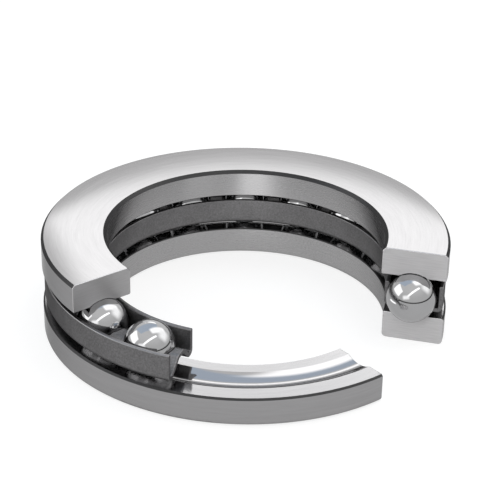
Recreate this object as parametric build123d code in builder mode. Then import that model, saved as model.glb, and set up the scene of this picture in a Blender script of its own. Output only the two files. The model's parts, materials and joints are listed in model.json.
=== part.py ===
"""Single-direction thrust ball bearing, 75 x 110 x 27 mm, cut away in steps to show its inside.

Frame: origin on the axis at the bottom face, +Z up the axis. Azimuths are degrees about +Z from +X.
From the bottom up the pieces are the housing washer, the cage with its balls, and the shaft washer.
All three rings start on one radial plane and end on planes of their own.
"""
import os
from math import cos, radians, sin, sqrt

from build123d import *

# Boundary dimensions of the bearing
SHAFT_BORE = 75.0
HOUSING_BORE = 77.0
OUTSIDE_DIAMETER = 110.0
HEIGHT = 27.0
WASHER_THICKNESS = 7.85

# Edges of the washers
SHAFT_TOP_OUTER_CHAMFER = 0.75
SHAFT_TOP_BORE_CHAMFER = 0.9
HOUSING_BOTTOM_ROUND = 1.2
HOUSING_TOP_OUTER_CHAMFER = 0.5
SMALL_EDGE = 0.25
CUT_EDGE = 0.2

# Balls and raceways
BALL_DIAMETER = 13.494
PITCH_RADIUS = 46.1
BALLS_IN_FULL_BEARING = 17
BALLS_KEPT = 13
GROOVE_CONFORMITY = 0.53
RACEWAY_GAP = 0.05

# Cage, a ring pressed from sheet with a W-shaped section
SHEET = 1.2
CAGE_OUTER_RADIUS = 54.45
CAGE_INNER_RADIUS = 38.6
OUTER_WALL_TOP = 17.4
INNER_WALL_TOP = 17.05
CAGE_BOTTOM = 9.7
RIDGE_TOP = 14.15
RIDGE_HALF_WIDTH = 1.5
VALLEY_WIDTH = 1.8
POCKET_GAP = 0.15
PRESS_RADIUS = 1.0
RIM_EDGE = 0.35

# Cut planes, as azimuths
CUT_START = -14.4
SHAFT_WASHER_END = 218.0
CAGE_END = 250.3
HOUSING_WASHER_END = 309.9
FIRST_BALL = -15.2

# Edges are picked by radius and height to within this
PICK_TOLERANCE = 0.02

# A face whose normal has a vertical part below this stands upright
UPRIGHT = 0.01

# Worked out from the values above
ball_radius = BALL_DIAMETER / 2
mid_height = HEIGHT / 2
outside_radius = OUTSIDE_DIAMETER / 2
groove_radius = GROOVE_CONFORMITY * BALL_DIAMETER
groove_offset = groove_radius - ball_radius - RACEWAY_GAP
lower_groove_centre = mid_height + groove_offset
groove_bottom = mid_height - ball_radius - RACEWAY_GAP
groove_half_width = sqrt(groove_radius**2 - (lower_groove_centre - WASHER_THICKNESS) ** 2)
ball_pitch = 360 / BALLS_IN_FULL_BEARING

os.makedirs("parts", exist_ok=True)


def washer_section(bore_radius, face, far_face, groove_floor):
    """Half section of a washer: face carries the ball groove, far_face is plain and flat."""
    with BuildSketch(Plane.XZ) as section:
        with BuildLine():
            Polyline(
                (PITCH_RADIUS - groove_half_width, face),
                (bore_radius, face),
                (bore_radius, far_face),
                (outside_radius, far_face),
                (outside_radius, face),
                (PITCH_RADIUS + groove_half_width, face),
            )
            ThreePointArc(
                (PITCH_RADIUS + groove_half_width, face),
                (PITCH_RADIUS, groove_floor),
                (PITCH_RADIUS - groove_half_width, face),
            )
        make_face()
    return section.sketch


def turned_ring(section, end_azimuth):
    """Turn a half section about the axis, from the common cut plane to end_azimuth."""
    start_face = section.rotate(Axis.Z, CUT_START)
    with BuildPart() as ring:
        add(start_face)
        revolve(axis=Axis.Z, revolution_arc=end_azimuth - CUT_START)
    return ring.part


def edges_at(part, radius, height):
    """The circular edges of a turned part at one radius and height."""
    circles = part.edges().filter_by(GeomType.CIRCLE)
    at_radius = circles.filter_by(lambda e: abs(e.radius - radius) < PICK_TOLERANCE)
    return at_radius.filter_by(lambda e: abs(e.arc_center.Z - height) < PICK_TOLERANCE)


def cut_face_edges(part):
    """The outlines of the two flat faces that the cut leaves."""
    flat_faces = part.faces().filter_by(GeomType.PLANE)
    return flat_faces.filter_by(lambda f: abs(f.normal_at().Z) < UPRIGHT).edges()


# Housing washer: the lower ring, with the larger bore, which sits in the housing
housing_bore_radius = HOUSING_BORE / 2
housing_section = washer_section(housing_bore_radius, WASHER_THICKNESS, 0, groove_bottom)
with BuildPart() as housing_washer:
    add(turned_ring(housing_section, HOUSING_WASHER_END))
    for radius in (housing_bore_radius, outside_radius):
        fillet(edges_at(housing_washer, radius, 0), HOUSING_BOTTOM_ROUND)
    chamfer(edges_at(housing_washer, outside_radius, WASHER_THICKNESS), HOUSING_TOP_OUTER_CHAMFER)
    chamfer(edges_at(housing_washer, housing_bore_radius, WASHER_THICKNESS), SMALL_EDGE)
    fillet(cut_face_edges(housing_washer), CUT_EDGE)
housing_washer.part.label = "housing_washer"
export_step(housing_washer.part, "parts/housing_washer.step")

# Shaft washer: the upper ring, with the smaller bore, which turns with the shaft
shaft_bore_radius = SHAFT_BORE / 2
shaft_washer_face = HEIGHT - WASHER_THICKNESS
shaft_section = washer_section(shaft_bore_radius, shaft_washer_face, HEIGHT, HEIGHT - groove_bottom)
with BuildPart() as shaft_washer:
    add(turned_ring(shaft_section, SHAFT_WASHER_END))
    chamfer(edges_at(shaft_washer, outside_radius, HEIGHT), SHAFT_TOP_OUTER_CHAMFER)
    chamfer(edges_at(shaft_washer, shaft_bore_radius, HEIGHT), SHAFT_TOP_BORE_CHAMFER)
    for radius in (shaft_bore_radius, outside_radius):
        chamfer(edges_at(shaft_washer, radius, shaft_washer_face), SMALL_EDGE)
    fillet(cut_face_edges(shaft_washer), CUT_EDGE)
shaft_washer.part.label = "shaft_washer"
export_step(shaft_washer.part, "parts/shaft_washer.step")

# Balls, evenly pitched as in the full bearing, as far as the cage reaches
ball_places = []
for index in range(BALLS_KEPT):
    azimuth = radians(FIRST_BALL + index * ball_pitch)
    ball_places.append((PITCH_RADIUS * cos(azimuth), PITCH_RADIUS * sin(azimuth), mid_height))

for index, place in enumerate(ball_places, start=1):
    with BuildPart() as ball:
        with Locations(place):
            Sphere(ball_radius)
    ball.part.label = f"ball_{index:02d}"
    export_step(ball.part, f"parts/ball_{index:02d}.step")

# Cage: two walls joined by a web that rises to a ridge between the balls
outer_wall_middle = CAGE_OUTER_RADIUS - SHEET / 2
inner_wall_middle = CAGE_INNER_RADIUS + SHEET / 2
valley_height = CAGE_BOTTOM + SHEET / 2
ridge_height = RIDGE_TOP - SHEET / 2
with BuildSketch(Plane.XZ) as cage_section:
    with BuildLine():
        FilletPolyline(
            (outer_wall_middle, OUTER_WALL_TOP),
            (outer_wall_middle, valley_height),
            (outer_wall_middle - VALLEY_WIDTH, valley_height),
            (PITCH_RADIUS + RIDGE_HALF_WIDTH, ridge_height),
            (PITCH_RADIUS - RIDGE_HALF_WIDTH, ridge_height),
            (inner_wall_middle + VALLEY_WIDTH, valley_height),
            (inner_wall_middle, valley_height),
            (inner_wall_middle, INNER_WALL_TOP),
            radius=PRESS_RADIUS,
        )
    trace(line_width=SHEET)
with BuildPart() as cage:
    add(turned_ring(cage_section.sketch, CAGE_END))
    for radius in (CAGE_OUTER_RADIUS, CAGE_OUTER_RADIUS - SHEET):
        fillet(edges_at(cage, radius, OUTER_WALL_TOP), RIM_EDGE)
    for radius in (CAGE_INNER_RADIUS, CAGE_INNER_RADIUS + SHEET):
        fillet(edges_at(cage, radius, INNER_WALL_TOP), RIM_EDGE)
    fillet(cut_face_edges(cage), CUT_EDGE)
    with Locations(ball_places):
        Sphere(ball_radius + POCKET_GAP, mode=Mode.SUBTRACT)
cage.part.label = "cage"
export_step(cage.part, "parts/cage.step")
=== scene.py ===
"""Looks for the cut-away thrust ball bearing: steel finishes, a pale floor, soft light and a camera.

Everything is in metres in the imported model's frame: axis along +Z, floor at the model's lowest point.
Azimuths and elevations are in degrees, azimuth about +Z from +X.
"""

import json
from math import cos, pi, radians, sin

import bpy
from mathutils import Matrix, Vector

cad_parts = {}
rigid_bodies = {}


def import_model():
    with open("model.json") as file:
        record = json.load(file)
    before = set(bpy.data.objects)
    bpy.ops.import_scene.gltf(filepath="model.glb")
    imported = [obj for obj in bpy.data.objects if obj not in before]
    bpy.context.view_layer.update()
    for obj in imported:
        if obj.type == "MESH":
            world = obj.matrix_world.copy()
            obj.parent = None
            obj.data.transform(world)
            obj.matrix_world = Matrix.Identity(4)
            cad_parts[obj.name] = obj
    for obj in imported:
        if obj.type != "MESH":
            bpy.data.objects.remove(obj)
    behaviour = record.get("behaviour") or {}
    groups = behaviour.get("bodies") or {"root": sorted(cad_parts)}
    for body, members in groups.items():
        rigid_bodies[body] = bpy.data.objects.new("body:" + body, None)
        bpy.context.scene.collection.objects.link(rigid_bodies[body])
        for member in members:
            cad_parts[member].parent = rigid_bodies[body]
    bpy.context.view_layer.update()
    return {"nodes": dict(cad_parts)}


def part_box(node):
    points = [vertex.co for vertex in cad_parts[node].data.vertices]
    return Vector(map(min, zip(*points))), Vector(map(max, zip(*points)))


for default_object in list(bpy.data.objects):
    bpy.data.objects.remove(default_object)

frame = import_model()

MM = 0.001

# Measures of the bearing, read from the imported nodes
ball_low, ball_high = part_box("ball_01")
ball_centre = (ball_low + ball_high) / 2
ball_radius = (ball_high.z - ball_low.z) / 2
pitch_radius = ball_centre.xy.length
mid_height = ball_centre.z
bearing_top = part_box("shaft_washer")[1].z
cage_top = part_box("cage")[1].z
floor_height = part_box("housing_washer")[0].z


class Graph:
    """Adds shader nodes with short calls. A value given to a call is a socket, a number or a tuple."""

    def __init__(self, tree):
        tree.nodes.clear()
        self.tree = tree

    def add(self, kind, inputs=(), **settings):
        node = self.tree.nodes.new("ShaderNode" + kind)
        for name, value in settings.items():
            setattr(node, name, value)
        for key, value in dict(inputs).items():
            if isinstance(value, bpy.types.NodeSocket):
                self.tree.links.new(value, node.inputs[key])
            else:
                node.inputs[key].default_value = value
        return node

    def math(self, operation, *values):
        return self.add("Math", enumerate(values), operation=operation).outputs[0]

    def vector(self, operation, *values):
        node = self.add("VectorMath", enumerate(values), operation=operation)
        is_number = operation in ("LENGTH", "DOT_PRODUCT")
        return node.outputs["Value" if is_number else "Vector"]

    def combine(self, x, y, z):
        return self.add("CombineXYZ", {0: x, 1: y, 2: z}).outputs[0]

    def separate(self, vector):
        return self.add("SeparateXYZ", {0: vector}).outputs[:3]

    def scaled(self, vector, factor):
        return self.add("VectorMath", {0: vector, "Scale": factor}, operation="SCALE").outputs["Vector"]

    def step(self, value, low, high):
        """0 at low, 1 at high, smooth between. With low above high, it falls instead of rising."""
        inputs = {0: value, 1: low, 2: high}
        return self.add("MapRange", inputs, interpolation_type="SMOOTHSTEP").outputs[0]

    def spread(self, value, low, high):
        """A number between 0 and 1, moved to between low and high."""
        return self.add("MapRange", {0: value, 3: low, 4: high}).outputs[0]

    def plus(self, first, second):
        return self.math("ADD", first, second)

    def times(self, first, second):
        """A product. Of two shares, it is the share where both hold."""
        return self.math("MULTIPLY", first, second)

    def inverse(self, share):
        return self.math("SUBTRACT", 1.0, share)

    def mix(self, share, first, second):
        """A number that goes from first to second as share goes from 0 to 1."""
        return self.add("Mix", {0: share, 2: first, 3: second}).outputs[0]

    def mix_colours(self, share, first, second):
        inputs = {0: share, 6: first, 7: second}
        return self.add("Mix", inputs, data_type="RGBA").outputs[2]

    def noise(self, vector, scale, detail=3.0, roughness=0.5):
        inputs = {"Vector": vector, "Scale": scale, "Detail": detail, "Roughness": roughness}
        return self.add("TexNoise", inputs).outputs[0]

    def seen_or_mirrored(self, seen, mirrored):
        """One shader for what the camera sees directly, another for what lights the object."""
        is_seen = self.add("LightPath").outputs["Is Camera Ray"]
        return self.add("MixShader", {0: is_seen, 1: mirrored.outputs[0], 2: seen.outputs[0]})


def grey(level):
    return (level, level, level, 1.0)


class RingSurface(Graph):
    """A material for a ring about the Z axis, with what its finishes are built from."""

    def __init__(self, name):
        self.material = bpy.data.materials.new(name)
        self.material.use_nodes = True
        super().__init__(self.material.node_tree)
        place = self.add("TexCoord")
        self.position = place.outputs["Object"]
        self.normal = place.outputs["Normal"]
        self.x, y, self.height = self.separate(self.position)
        self.flat_position = self.combine(self.x, y, 0.0)
        self.radius = self.vector("LENGTH", self.flat_position)
        self.outward = self.vector("NORMALIZE", self.flat_position)
        self.turning = self.vector("CROSS_PRODUCT", (0.0, 0.0, 1.0), self.outward)

        # How squarely the surface faces the axis, up or down, and along the turning direction
        self.facing_in = self.times(self.vector("DOT_PRODUCT", self.normal, self.outward), -1.0)
        self.level = self.math("ABSOLUTE", self.vector("DOT_PRODUCT", self.normal, (0.0, 0.0, 1.0)))
        self.along = self.math("ABSOLUTE", self.vector("DOT_PRODUCT", self.normal, self.turning))

        # Across the marks: square to the turning direction, and upward on a cut face
        across_turned = self.vector("CROSS_PRODUCT", self.normal, self.turning)
        across_sawn = self.combine(0.0, 0.0, self.times(self.along, self.along))
        self.across_marks = self.vector("ADD", across_turned, across_sawn)

    def lap_marks(self, width, arcs):
        """Marks that run round the axis, width apart, and break up about 6 x arcs times in a turn."""
        round_the_ring = self.scaled(self.outward, arcs)
        profile = self.combine(0.0, 0.0, self.math("DIVIDE", self.radius, width))
        inputs = {
            "Vector": self.vector("ADD", round_the_ring, profile),
            "W": self.math("DIVIDE", self.height, width),
            "Scale": 1.0,
            "Detail": 3.0,
        }
        return self.add("TexNoise", inputs, noise_dimensions="4D").outputs[0]

    def finish(self, tint, level, roughness, relief, relief_depth, anisotropy=0.0, edge_tint=1.0):
        """Bare metal of a tint darkened to a level. An edge tint below 1 darkens it at low angles."""
        bump = self.add("Bump", {"Height": relief, "Distance": relief_depth, "Strength": 1.0})
        stretch = self.add("VectorTransform", {0: self.across_marks}, vector_type="VECTOR",
                           convert_from="OBJECT", convert_to="WORLD")
        shader = self.add("BsdfPrincipled", {
            "Base Color": self.mix_colours(level, grey(0.0), tint),
            "Metallic": 1.0,
            "Roughness": roughness,
            "Anisotropic": anisotropy,
            "Specular Tint": grey(edge_tint),
            "Tangent": stretch.outputs[0],
            "Normal": bump.outputs[0],
        })
        self.add("OutputMaterial", {"Surface": shader.outputs[0]})
        return self.material


# A pair of numbers in the lists below is where a smooth step starts and ends, or the ends of a spread.

# Washers: how squarely a surface has to face a way, and where it has to be, to get a finish
CUT_FACE = (0.80, 0.97)
CUT_EDGE = (0.15, 0.35)
CLEAR_OF_CUT = (0.25, 0.10)
FLAT_FACE = (0.90, 0.97)
SLOPE = (0.30, 0.45)
BORE_WALL = (0.50, 0.80)
ABOVE_BOTTOM_ROUNDS = (2.0 * MM, 2.5 * MM)
GROOVE_MARGIN = 0.12 * MM
GROOVE_FADE = 0.02 * MM

# Washers: marks. Lap marks have a width and arcs, saw marks a scale outward and a scale upward,
# blotches a scale, and the grain a scale and detail.
FINE_MARKS = (0.16 * MM, 4.0)
BROAD_MARKS = (0.7 * MM, 6.0)
SAW_MARK_SCALES = (200.0, 3000.0)
BLOTCH_SCALE = 70.0
GRAIN = (2600.0, 2.0)

# Washers: brightness of each finish. The left end of the painted-shade pair is painted shade on the cut
# faces at the left, so the shaft washer's left cut face is darker than its right one.
WASHER_TINT = (1.0, 0.99, 1.0, 1.0)
GROUND_LEVEL = (0.41, 0.49)
BROAD_MARK_LEVEL = (-0.035, 0.035)
BORE_LEVEL = (0.51, 0.53)
GROOVE_LEVEL = 0.50
SAWN_LEVEL = (0.62, 0.84)
PAINTED_SHADE_LEFT_TO_RIGHT = (-10.0 * MM, 10.0 * MM)
LEFT_CUT_FACE_PAINTED_SHADE = (0.70, 1.0)
# Painted highlight: the brightness of the band along the cut faces' edges
CUT_EDGE_PAINTED_HIGHLIGHT_LEVEL = 0.66
CHAMFER_LEVEL = (0.05, 0.09)

# Washers: roughness of each finish
WALL_ROUGHNESS = (0.10, 0.14)
BLOTCH_ROUGHNESS = (-0.02, 0.02)
LOWER_FACE_ROUGHNESS = (0.11, 0.15)
UPPER_FACE_ROUGHNESS = (0.03, 0.05)
BORE_ROUGHNESS = (0.26, 0.29)
GROOVE_ROUGHNESS = (0.05, 0.10)
SAWN_ROUGHNESS = (0.42, 0.52)
CHAMFER_ROUGHNESS = (0.40, 0.50)

# Washers: depth of the marks, its share from walls to the smoother faces and bores, and where sawn
WASHER_RELIEF = 0.0004 * MM
SMOOTH_SHARE = (1.0, 0.2)
SAWN_SHARE = 3.0
WASHER_GLOSS = {"anisotropy": 0.9, "edge_tint": 0.6}


def washer_steel():
    """Hardened bearing steel: ground faces and walls, a honed groove, matt cut faces, dark chamfers."""
    steel = RingSurface("washer_steel")

    # Where each finish is, from the place and the direction of the surface
    from_ball_circle = steel.vector("LENGTH", steel.combine(
        steel.math("SUBTRACT", steel.radius, pitch_radius),
        steel.math("SUBTRACT", steel.height, mid_height),
        0.0,
    ))
    groove_reach = ball_radius + GROOVE_MARGIN
    groove = steel.step(from_ball_circle, groove_reach + GROOVE_FADE, groove_reach)
    cut_face = steel.step(steel.along, *CUT_FACE)
    painted_highlight_edge = steel.times(steel.step(steel.along, *CUT_EDGE), steel.inverse(cut_face))
    flat_face = steel.step(steel.level, *FLAT_FACE)
    upper_face = steel.times(flat_face, steel.step(steel.height, mid_height, bearing_top))
    bore_wall = steel.step(steel.facing_in, *BORE_WALL)
    slope = steel.times(steel.step(steel.level, *SLOPE), steel.inverse(flat_face))
    high_slope = steel.times(slope, steel.step(steel.height, *ABOVE_BOTTOM_ROUNDS))
    clear_of_others = steel.times(steel.inverse(groove), steel.step(steel.along, *CLEAR_OF_CUT))
    chamfer = steel.times(high_slope, clear_of_others)

    # Marks of the grinding wheel, of the saw and of handling
    fine_marks = steel.lap_marks(*FINE_MARKS)
    broad_marks = steel.lap_marks(*BROAD_MARKS)
    outward_scale, upward_scale = SAW_MARK_SCALES
    sawn_outward = steel.times(steel.radius, outward_scale)
    sawn_upward = steel.times(steel.height, upward_scale)
    saw_marks = steel.noise(steel.combine(sawn_outward, sawn_upward, 0.0), 1.0)
    blotches = steel.noise(steel.position, BLOTCH_SCALE)
    grain = steel.noise(steel.position, *GRAIN)

    # Brightness
    level = steel.spread(fine_marks, *GROUND_LEVEL)
    level = steel.plus(level, steel.spread(broad_marks, *BROAD_MARK_LEVEL))
    level = steel.mix(bore_wall, level, steel.spread(fine_marks, *BORE_LEVEL))
    level = steel.mix(groove, level, GROOVE_LEVEL)
    # Painted shade: the cut faces are darkened toward the left side of the bearing
    left_cut_face_painted_shade = steel.spread(steel.step(steel.x, *PAINTED_SHADE_LEFT_TO_RIGHT), *LEFT_CUT_FACE_PAINTED_SHADE)
    level = steel.mix(cut_face, level, steel.times(steel.spread(saw_marks, *SAWN_LEVEL), left_cut_face_painted_shade))
    # Painted highlight: a bright band along the edges of the cut faces
    level = steel.mix(painted_highlight_edge, level, CUT_EDGE_PAINTED_HIGHLIGHT_LEVEL)
    level = steel.mix(chamfer, level, steel.spread(grain, *CHAMFER_LEVEL))

    # Roughness
    rough = steel.spread(fine_marks, *WALL_ROUGHNESS)
    rough = steel.plus(rough, steel.spread(blotches, *BLOTCH_ROUGHNESS))
    for place, marks, ends in (
        (flat_face, fine_marks, LOWER_FACE_ROUGHNESS),
        (upper_face, fine_marks, UPPER_FACE_ROUGHNESS),
        (bore_wall, fine_marks, BORE_ROUGHNESS),
        (groove, blotches, GROOVE_ROUGHNESS),
        (cut_face, saw_marks, SAWN_ROUGHNESS),
        (chamfer, grain, CHAMFER_ROUGHNESS),
    ):
        rough = steel.mix(place, rough, steel.spread(marks, *ends))

    # Relief: shallow on the faces and in the bores, none in the groove, deepest where it was sawn
    smooth_share = steel.mix(steel.math("MAXIMUM", flat_face, bore_wall), *SMOOTH_SHARE)
    ground_relief = steel.times(steel.times(fine_marks, smooth_share), steel.inverse(groove))
    relief = steel.mix(cut_face, ground_relief, steel.times(saw_marks, SAWN_SHARE))
    return steel.finish(WASHER_TINT, level, rough, relief, WASHER_RELIEF, **WASHER_GLOSS)


# Cage: noises as scale, detail and roughness; the rim as depths below the top and as how level it is
STIPPLE = (2200.0, 3.0, 0.6)
PATCHES = (160.0, 3.0)
RIM_DEPTHS = (0.35 * MM, 0.1 * MM)
RIM_SLOPE = (0.3, 0.7)
CAGE_TINT = (1.0, 0.985, 1.0, 1.0)
CAGE_LEVEL = (0.08, 0.38)
PATCH_LEVEL = (-0.04, 0.04)
# Painted highlight: the lighter colour of the upward-facing rim
RIM_PAINTED_HIGHLIGHT_LEVEL = (0.24, 0.36)
CAGE_ROUGHNESS = (0.36, 0.52)
RIM_ROUGHNESS = 0.30
CAGE_RELIEF = 0.012 * MM
CAGE_EDGE_TINT = 0.2


def cage_steel():
    """Dark pressed sheet with a fine tumbled texture, and a painted highlight: its upward-facing outer
    rim is coloured lighter, and is smoother.
    """
    steel = RingSurface("cage_steel")
    stipple = steel.noise(steel.position, *STIPPLE)
    patches = steel.noise(steel.position, *PATCHES)
    rim_low, rim_high = (cage_top - depth for depth in RIM_DEPTHS)
    rim = steel.times(steel.step(steel.height, rim_low, rim_high), steel.step(steel.level, *RIM_SLOPE))
    level = steel.plus(steel.spread(stipple, *CAGE_LEVEL), steel.spread(patches, *PATCH_LEVEL))
    # Painted highlight: the upward-facing rim is coloured lighter than the rest of the sheet
    level = steel.mix(rim, level, steel.spread(stipple, *RIM_PAINTED_HIGHLIGHT_LEVEL))
    rough = steel.mix(rim, steel.spread(stipple, *CAGE_ROUGHNESS), RIM_ROUGHNESS)
    return steel.finish(CAGE_TINT, level, rough, stipple, CAGE_RELIEF, edge_tint=CAGE_EDGE_TINT)


# Balls: noises as scale and detail
HAZE = (220.0, 4.0)
SCRATCHES = (1500.0, 2.0)
BALL_TINT = (0.99, 0.99, 1.0, 1.0)
BALL_LEVEL = (0.50, 0.56)
BALL_ROUGHNESS = (0.02, 0.09)
BALL_RELIEF = 0.0003 * MM


def ball_steel():
    """Lapped and polished steel, with the faintest haze of handling."""
    steel = RingSurface("ball_steel")
    haze = steel.noise(steel.position, *HAZE)
    scratches = steel.noise(steel.position, *SCRATCHES)
    level = steel.spread(haze, *BALL_LEVEL)
    return steel.finish(BALL_TINT, level, steel.spread(haze, *BALL_ROUGHNESS), scratches, BALL_RELIEF)


def dress(materials):
    """Give every node of the model the material of its slot."""
    for node in frame["nodes"].values():
        for slot in node.material_slots:
            slot.material = materials[slot.material.name]


# Floor. The camera sees it pale and evenly lit. The steel mirrors a dimmer glow with a bright patch.
FLOOR_RADIUS = 4.0
FLOOR_SIDES = 96
SEEN_REFLECTANCE = 0.35
SEEN_GLOW = 0.72
MIRRORED_REFLECTANCE = 0.14
MIRRORED_GLOW = (0.50, 2.1)
BRIGHT_PATCH_CENTRE = (-4.0 * MM, -12.0 * MM)
BRIGHT_PATCH_HALF_SIZE = (7.0 * MM, 14.0 * MM)
BRIGHT_PATCH_EDGE = 3.0 * MM


def add_floor():
    bpy.ops.mesh.primitive_circle_add(vertices=FLOOR_SIDES, radius=FLOOR_RADIUS, fill_type="NGON",
                                      location=(0.0, 0.0, floor_height))
    floor = bpy.context.object
    floor.name = "studio_floor"
    material = bpy.data.materials.new("studio_floor")
    material.use_nodes = True
    graph = Graph(material.node_tree)

    def glowing(reflectance, strength):
        matt = graph.add("BsdfDiffuse", {"Color": grey(reflectance)})
        glow = graph.add("Emission", {"Color": grey(1.0), "Strength": strength})
        return graph.add("AddShader", {0: matt.outputs[0], 1: glow.outputs[0]})

    place = graph.separate(graph.add("TexCoord").outputs["Object"])
    patch = 1.0
    for coordinate, centre, half in zip(place, BRIGHT_PATCH_CENTRE, BRIGHT_PATCH_HALF_SIZE):
        offset = graph.math("ABSOLUTE", graph.math("SUBTRACT", coordinate, centre))
        patch = graph.times(graph.step(offset, half + BRIGHT_PATCH_EDGE, half - BRIGHT_PATCH_EDGE), patch)
    seen = glowing(SEEN_REFLECTANCE, SEEN_GLOW)
    mirrored = glowing(MIRRORED_REFLECTANCE, graph.spread(patch, *MIRRORED_GLOW))
    graph.add("OutputMaterial", {"Surface": graph.seen_or_mirrored(seen, mirrored).outputs[0]})
    floor.data.materials.append(material)


def direction(azimuth, elevation):
    """The unit vector that points from the origin at an azimuth and elevation."""
    level = Vector((cos(radians(azimuth)), sin(radians(azimuth)), 0.0))
    return cos(radians(elevation)) * level + Vector((0.0, 0.0, sin(radians(elevation))))


# Dome: brightness below and above the horizon, overhead and at the back. A pair is parts of a unit ray.
HORIZON = (0.05, 0.13)
BELOW_HORIZON = 0.05
WALLS = 0.70
OVERHEAD = (0.30, 0.90)
OVERHEAD_LEVEL = 0.85
TOWARD_BACK = (0.60, 0.75)
BACK_LEVEL = 0.87

# Round lamp behind the bearing, which the flat faces mirror. A flag hides it above an elevation.
LAMP_AZIMUTH = 89.8
LAMP_ELEVATION = 37.5
LAMP_RADIUS = 13.2
LAMP_EDGE = 0.2
LAMP_BRIGHTNESS = 2.15
LAMP_FLAG = 33.5
LAMP_FLAG_EDGE = 1.5

WHITE = (1.0, 1.0, 1.0)
PALE_BLUE = (0.62, 0.71, 0.83)

# Soft boxes: azimuth, elevation, half width, half height, turn, edge softness, colour, brightness.
# Half sizes and softness are in units of the distance to the box. The first is a small dim card in
# front of the lamp.
SOFT_BOXES = (
    (100.4, 28.2, 0.05, 0.09, 24, 0.01, WHITE, 0.9),
    (176, 30, 0.42, 0.26, 0, 0.04, WHITE, 2.0),
    (108, 62, 0.60, 0.37, 0, 0.04, PALE_BLUE, 1.0),
    (-88, 53, 0.75, 0.07, 36, 0.03, WHITE, 2.6),
    (-124, 24, 0.26, 0.14, 20, 0.10, WHITE, 1.7),
    (37, 56, 0.22, 0.50, 0, 0.12, WHITE, 2.1),
    (14, 36, 0.36, 0.30, 0, 0.22, WHITE, 1.7),
)

# A soft box shows only on its own side of the dome: from this depth along its direction to this one
BOX_SIDE = (0.05, 0.1)


def add_studio_light():
    """A dome with soft boxes lights the object. The camera itself sees a plain white backdrop."""
    world = bpy.data.worlds.new("studio")
    bpy.context.scene.world = world
    world.use_nodes = True
    dome = Graph(world.node_tree)
    ray = dome.add("TexCoord").outputs["Generated"]
    back, up = dome.separate(ray)[1:]

    above_horizon = dome.step(up, *HORIZON)
    light = dome.mix_colours(above_horizon, grey(BELOW_HORIZON), grey(WALLS))
    light = dome.mix_colours(dome.step(up, *OVERHEAD), light, grey(OVERHEAD_LEVEL))
    at_back = dome.times(dome.step(back, *TOWARD_BACK), above_horizon)
    light = dome.mix_colours(at_back, light, grey(BACK_LEVEL))

    lamp = tuple(direction(LAMP_AZIMUTH, LAMP_ELEVATION))
    disc_edges = (cos(radians(LAMP_RADIUS + side * LAMP_EDGE)) for side in (1, -1))
    flag_edges = (sin(radians(LAMP_FLAG + side * LAMP_FLAG_EDGE)) for side in (1, -1))
    on_disc = dome.step(dome.vector("DOT_PRODUCT", ray, lamp), *disc_edges)
    under_flag = dome.step(up, *flag_edges)
    light = dome.mix_colours(dome.times(on_disc, under_flag), light, grey(LAMP_BRIGHTNESS))

    for azimuth, elevation, half_width, half_height, turn, edge, colour, brightness in SOFT_BOXES:
        ahead = direction(azimuth, elevation)
        level = Vector((-sin(radians(azimuth)), cos(radians(azimuth)), 0.0))
        sideways = Matrix.Rotation(radians(turn), 3, ahead) @ level
        depth = dome.vector("DOT_PRODUCT", ray, tuple(ahead))
        share = dome.step(depth, *BOX_SIDE)
        for axis, half in ((sideways, half_width), (ahead.cross(sideways), half_height)):
            along_axis = dome.vector("DOT_PRODUCT", ray, tuple(axis))
            offset = dome.math("ABSOLUTE", dome.math("DIVIDE", along_axis, depth))
            share = dome.times(share, dome.step(offset, half + edge, half - edge))
        box_light = tuple(brightness * channel for channel in colour) + (1.0,)
        light = dome.mix_colours(share, light, box_light)

    studio = dome.add("Background", {"Color": light})
    backdrop = dome.add("Background", {"Color": grey(1.0)})
    dome.add("OutputWorld", {"Surface": dome.seen_or_mirrored(backdrop, studio).outputs[0]})


# Camera: place, turns in degrees, lens and sensor in mm, and the nearest and furthest it sees in metres
CAMERA_PLACE = (0.0, -392.634 * MM, 223.740 * MM)
CAMERA_TILT_DOWN = 27.351
CAMERA_PAN_RIGHT = 0.173
CAMERA_ROLL = 1.108
CAMERA_LENS = 117.29
SENSOR_WIDTH = 36.0
NEAREST_SEEN = 0.01
FURTHEST_SEEN = 20.0


def add_camera():
    """Stands in front of the bearing and looks down at it, from the height that shows every step."""
    camera = bpy.data.objects.new("camera", bpy.data.cameras.new("camera"))
    camera.data.lens = CAMERA_LENS
    camera.data.sensor_width = SENSOR_WIDTH
    camera.data.clip_start = NEAREST_SEEN
    camera.data.clip_end = FURTHEST_SEEN
    camera.matrix_world = (
        Matrix.Translation(CAMERA_PLACE)
        @ Matrix.Rotation(-radians(CAMERA_PAN_RIGHT), 4, "Z")
        @ Matrix.Rotation(pi / 2 - radians(CAMERA_TILT_DOWN), 4, "X")
        @ Matrix.Rotation(radians(CAMERA_ROLL), 4, "Z")
    )
    bpy.context.scene.collection.objects.link(camera)
    bpy.context.scene.camera = camera


dress({"washer_steel": washer_steel(), "cage_steel": cage_steel(), "ball_steel": ball_steel()})
add_floor()
add_studio_light()
add_camera()
bpy.context.scene.view_settings.view_transform = "Standard"
